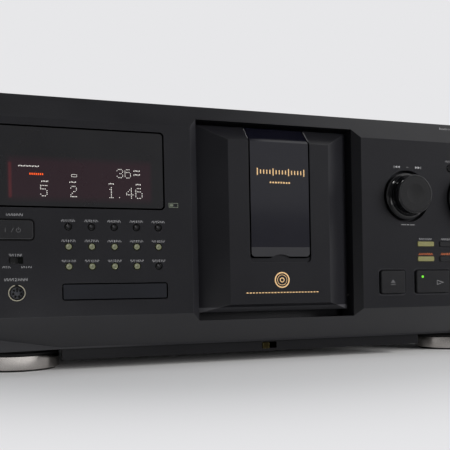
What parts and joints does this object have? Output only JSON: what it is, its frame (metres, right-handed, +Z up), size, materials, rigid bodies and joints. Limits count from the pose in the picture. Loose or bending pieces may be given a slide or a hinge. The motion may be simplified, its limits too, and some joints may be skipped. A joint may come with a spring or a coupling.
{
  "type": "carousel disc changer",
  "caption": "Wide disc changer with a drop-down front door, a slotted turntable inside, a display window, rows of small buttons and two turning knobs.",
  "frame": {"origin": "on the floor under the middle of the outer box", "axes": "+Z up, +X to the right seen from the front, the front faces -Y"},
  "size_m": [0.43, 0.485, 0.1895],
  "materials": {
    "panel_plastic": "satin dark grey moulding",
    "smoked_acrylic": "glossy smoked acrylic",
    "display_glass": "dark glass display tube",
    "key_plastic": "satin dark grey caps",
    "lit_caps": "pale yellow-green caps",
    "knob_plastic": "satin dark grey, dished face",
    "case_paint": "black textured paint",
    "bright_steel": "turned steel",
    "ring_chrome": "polished ring",
    "foot_rubber": "black",
    "clip_brass": "spring brass",
    "table_plastic": "dark moulding",
    "comb_plastic": "dark moulding",
    "gear_plastic": "ivory gear plastic",
    "board_green": "circuit boards",
    "socket_black": "black sockets with metal shells",
    "deck_metal": "cast deck",
    "motor_steel": "motor cans",
    "sled_plastic": "black moulding",
    "core_steel": "laminated core"
  },
  "bodies": {
    "case": {"front_panel": "panel_plastic", "display_window": "smoked_acrylic", "remote_window": "smoked_acrylic", "display_module": "display_glass", "control_boards": "board_green", "keyboard_socket": "socket_black", "chassis": "case_paint", "pan_clip": "clip_brass", "top_cover": "case_paint", "rear_panel": "case_paint", "rear_sockets": "socket_black", "feet": "foot_rubber", "foot_rings": "ring_chrome", "drive_motors": "motor_steel", "player_deck": "deck_metal", "main_board": "board_green", "transformer": "core_steel", "screws": "bright_steel"},
    "door": {"front_door": "panel_plastic", "door_window": "smoked_acrylic", "door_gear_shaft": "bright_steel"},
    "door_pinion": {"door_drive_gear": "gear_plastic"},
    "carousel": {"carousel_table": "table_plastic", "slot_combs": "comb_plastic"},
    "idler": {"idler_gear": "gear_plastic"},
    "pinion": {"motor_pinion": "gear_plastic"},
    "spindle": {"disc_spindle": "sled_plastic"},
    "sled": {"pickup_sled": "sled_plastic"},
    "lever": {"loading_lever": "sled_plastic"},
    "jog": {"jog_dial": "knob_plastic"},
    "skip_push": {"skip_push_sleeve": "gear_plastic"},
    "skip_turn": {"skip_knob": "knob_plastic"},
    "timer": {"timer_slider": "key_plastic"},
    "round_button_1_1_key": {"round_button_1_1": "key_plastic"},
    "round_button_1_2_key": {"round_button_1_2": "key_plastic"},
    "round_button_1_3_key": {"round_button_1_3": "key_plastic"},
    "round_button_1_4_key": {"round_button_1_4": "key_plastic"},
    "round_button_1_5_key": {"round_button_1_5": "key_plastic"},
    "round_button_2_1_key": {"round_button_2_1": "lit_caps"},
    "round_button_2_2_key": {"round_button_2_2": "lit_caps"},
    "round_button_2_3_key": {"round_button_2_3": "lit_caps"},
    "round_button_2_4_key": {"round_button_2_4": "lit_caps"},
    "round_button_2_5_key": {"round_button_2_5": "lit_caps"},
    "round_button_3_1_key": {"round_button_3_1": "lit_caps"},
    "round_button_3_2_key": {"round_button_3_2": "lit_caps"},
    "round_button_3_3_key": {"round_button_3_3": "lit_caps"},
    "round_button_3_4_key": {"round_button_3_4": "lit_caps"},
    "round_button_3_5_key": {"round_button_3_5": "key_plastic"},
    "bar_button_1_1_key": {"bar_button_1_1": "lit_caps"},
    "bar_button_1_2_key": {"bar_button_1_2": "key_plastic"},
    "bar_button_1_3_key": {"bar_button_1_3": "key_plastic"},
    "bar_button_2_1_key": {"bar_button_2_1": "lit_caps"},
    "bar_button_2_2_key": {"bar_button_2_2": "key_plastic"},
    "bar_button_2_3_key": {"bar_button_2_3": "key_plastic"},
    "standby_key": {"standby_button": "key_plastic"},
    "menu_key": {"menu_button": "key_plastic"},
    "open_close_key": {"open_close_button": "key_plastic"},
    "play_key": {"play_button": "key_plastic"},
    "pause_key": {"pause_button": "key_plastic"},
    "stop_key": {"stop_button": "key_plastic"}
  },
  "joints": [
    {"name": "door_hinge", "type": "hinge", "parent": "case", "child": "door", "pos_m": [0, -0.2165, 0.05], "axis": [1, 0, 0], "range_deg": [0, 82]},
    {"name": "door_pinion_spin", "type": "hinge", "parent": "case", "child": "door_pinion", "pos_m": [0.069, -0.2025, 0.05], "axis": [1, 0, 0], "range_deg": [-110, 0]},
    {"name": "carousel_turn", "type": "hinge", "parent": "case", "child": "carousel", "pos_m": [0, -0.0045, 0.026], "axis": [0, 0, 1], "continuous": true},
    {"name": "idler_spin", "type": "hinge", "parent": "case", "child": "idler", "pos_m": [0.12213, 0.14105, 0.022], "axis": [0, 0, 1], "continuous": true},
    {"name": "pinion_spin", "type": "hinge", "parent": "case", "child": "pinion", "pos_m": [0.15555, 0.18088, 0.022], "axis": [0, 0, 1], "continuous": true},
    {"name": "spindle_spin", "type": "hinge", "parent": "case", "child": "spindle", "pos_m": [0, -0.0045, 0.0905], "axis": [1, 0, 0], "continuous": true},
    {"name": "sled_slide", "type": "slide", "parent": "case", "child": "sled", "axis": [0, 1, 0], "range_m": [0, 0.025]},
    {"name": "lever_swing", "type": "hinge", "parent": "case", "child": "lever", "pos_m": [0, 0.2025, 0.065], "axis": [1, 0, 0], "range_deg": [0, 35]},
    {"name": "jog_turn", "type": "hinge", "parent": "case", "child": "jog", "pos_m": [0.1705, -0.2305, 0.126], "axis": [0, 1, 0], "continuous": true},
    {"name": "skip_press", "type": "slide", "parent": "case", "child": "skip_push", "axis": [0, 1, 0], "range_m": [0, 0.001], "stiffness_N_per_m": 1500},
    {"name": "skip_spin", "type": "hinge", "parent": "skip_push", "child": "skip_turn", "pos_m": [0.1066, -0.2305, 0.1265], "axis": [0, 1, 0], "continuous": true},
    {"name": "timer_slide", "type": "slide", "parent": "case", "child": "timer", "axis": [1, 0, 0], "range_m": [0, 0.0044]},
    {"name": "round_button_1_1_press", "type": "slide", "parent": "case", "child": "round_button_1_1_key", "axis": [0, 1, 0], "range_m": [0, 0.0008], "stiffness_N_per_m": 1000},
    {"name": "round_button_1_2_press", "type": "slide", "parent": "case", "child": "round_button_1_2_key", "axis": [0, 1, 0], "range_m": [0, 0.0008], "stiffness_N_per_m": 1000},
    {"name": "round_button_1_3_press", "type": "slide", "parent": "case", "child": "round_button_1_3_key", "axis": [0, 1, 0], "range_m": [0, 0.0008], "stiffness_N_per_m": 1000},
    {"name": "round_button_1_4_press", "type": "slide", "parent": "case", "child": "round_button_1_4_key", "axis": [0, 1, 0], "range_m": [0, 0.0008], "stiffness_N_per_m": 1000},
    {"name": "round_button_1_5_press", "type": "slide", "parent": "case", "child": "round_button_1_5_key", "axis": [0, 1, 0], "range_m": [0, 0.0008], "stiffness_N_per_m": 1000},
    {"name": "round_button_2_1_press", "type": "slide", "parent": "case", "child": "round_button_2_1_key", "axis": [0, 1, 0], "range_m": [0, 0.0008], "stiffness_N_per_m": 1000},
    {"name": "round_button_2_2_press", "type": "slide", "parent": "case", "child": "round_button_2_2_key", "axis": [0, 1, 0], "range_m": [0, 0.0008], "stiffness_N_per_m": 1000},
    {"name": "round_button_2_3_press", "type": "slide", "parent": "case", "child": "round_button_2_3_key", "axis": [0, 1, 0], "range_m": [0, 0.0008], "stiffness_N_per_m": 1000},
    {"name": "round_button_2_4_press", "type": "slide", "parent": "case", "child": "round_button_2_4_key", "axis": [0, 1, 0], "range_m": [0, 0.0008], "stiffness_N_per_m": 1000},
    {"name": "round_button_2_5_press", "type": "slide", "parent": "case", "child": "round_button_2_5_key", "axis": [0, 1, 0], "range_m": [0, 0.0008], "stiffness_N_per_m": 1000},
    {"name": "round_button_3_1_press", "type": "slide", "parent": "case", "child": "round_button_3_1_key", "axis": [0, 1, 0], "range_m": [0, 0.0008], "stiffness_N_per_m": 1000},
    {"name": "round_button_3_2_press", "type": "slide", "parent": "case", "child": "round_button_3_2_key", "axis": [0, 1, 0], "range_m": [0, 0.0008], "stiffness_N_per_m": 1000},
    {"name": "round_button_3_3_press", "type": "slide", "parent": "case", "child": "round_button_3_3_key", "axis": [0, 1, 0], "range_m": [0, 0.0008], "stiffness_N_per_m": 1000},
    {"name": "round_button_3_4_press", "type": "slide", "parent": "case", "child": "round_button_3_4_key", "axis": [0, 1, 0], "range_m": [0, 0.0008], "stiffness_N_per_m": 1000},
    {"name": "round_button_3_5_press", "type": "slide", "parent": "case", "child": "round_button_3_5_key", "axis": [0, 1, 0], "range_m": [0, 0.0008], "stiffness_N_per_m": 1000},
    {"name": "bar_button_1_1_press", "type": "slide", "parent": "case", "child": "bar_button_1_1_key", "axis": [0, 1, 0], "range_m": [0, 0.0008], "stiffness_N_per_m": 1000},
    {"name": "bar_button_1_2_press", "type": "slide", "parent": "case", "child": "bar_button_1_2_key", "axis": [0, 1, 0], "range_m": [0, 0.0008], "stiffness_N_per_m": 1000},
    {"name": "bar_button_1_3_press", "type": "slide", "parent": "case", "child": "bar_button_1_3_key", "axis": [0, 1, 0], "range_m": [0, 0.0008], "stiffness_N_per_m": 1000},
    {"name": "bar_button_2_1_press", "type": "slide", "parent": "case", "child": "bar_button_2_1_key", "axis": [0, 1, 0], "range_m": [0, 0.0008], "stiffness_N_per_m": 1000},
    {"name": "bar_button_2_2_press", "type": "slide", "parent": "case", "child": "bar_button_2_2_key", "axis": [0, 1, 0], "range_m": [0, 0.0008], "stiffness_N_per_m": 1000},
    {"name": "bar_button_2_3_press", "type": "slide", "parent": "case", "child": "bar_button_2_3_key", "axis": [0, 1, 0], "range_m": [0, 0.0008], "stiffness_N_per_m": 1000},
    {"name": "standby_button_press", "type": "slide", "parent": "case", "child": "standby_key", "axis": [0, 1, 0], "range_m": [0, 0.0008], "stiffness_N_per_m": 1000},
    {"name": "menu_button_press", "type": "slide", "parent": "case", "child": "menu_key", "axis": [0, 1, 0], "range_m": [0, 0.0008], "stiffness_N_per_m": 1000},
    {"name": "open_close_button_press", "type": "slide", "parent": "case", "child": "open_close_key", "axis": [0, 1, 0], "range_m": [0, 0.0008], "stiffness_N_per_m": 1000},
    {"name": "play_button_press", "type": "slide", "parent": "case", "child": "play_key", "axis": [0, 1, 0], "range_m": [0, 0.0008], "stiffness_N_per_m": 1000},
    {"name": "pause_button_press", "type": "slide", "parent": "case", "child": "pause_key", "axis": [0, 1, 0], "range_m": [0, 0.0008], "stiffness_N_per_m": 1000},
    {"name": "stop_button_press", "type": "slide", "parent": "case", "child": "stop_key", "axis": [0, 1, 0], "range_m": [0, 0.0008], "stiffness_N_per_m": 1000}
  ],
  "couplings": [
    {"joint": "door_pinion_spin", "follows": "door_hinge", "ratio": -1.3333},
    {"joint": "idler_spin", "follows": "carousel_turn", "ratio": -3.75},
    {"joint": "pinion_spin", "follows": "carousel_turn", "ratio": 12.5}
  ]
}
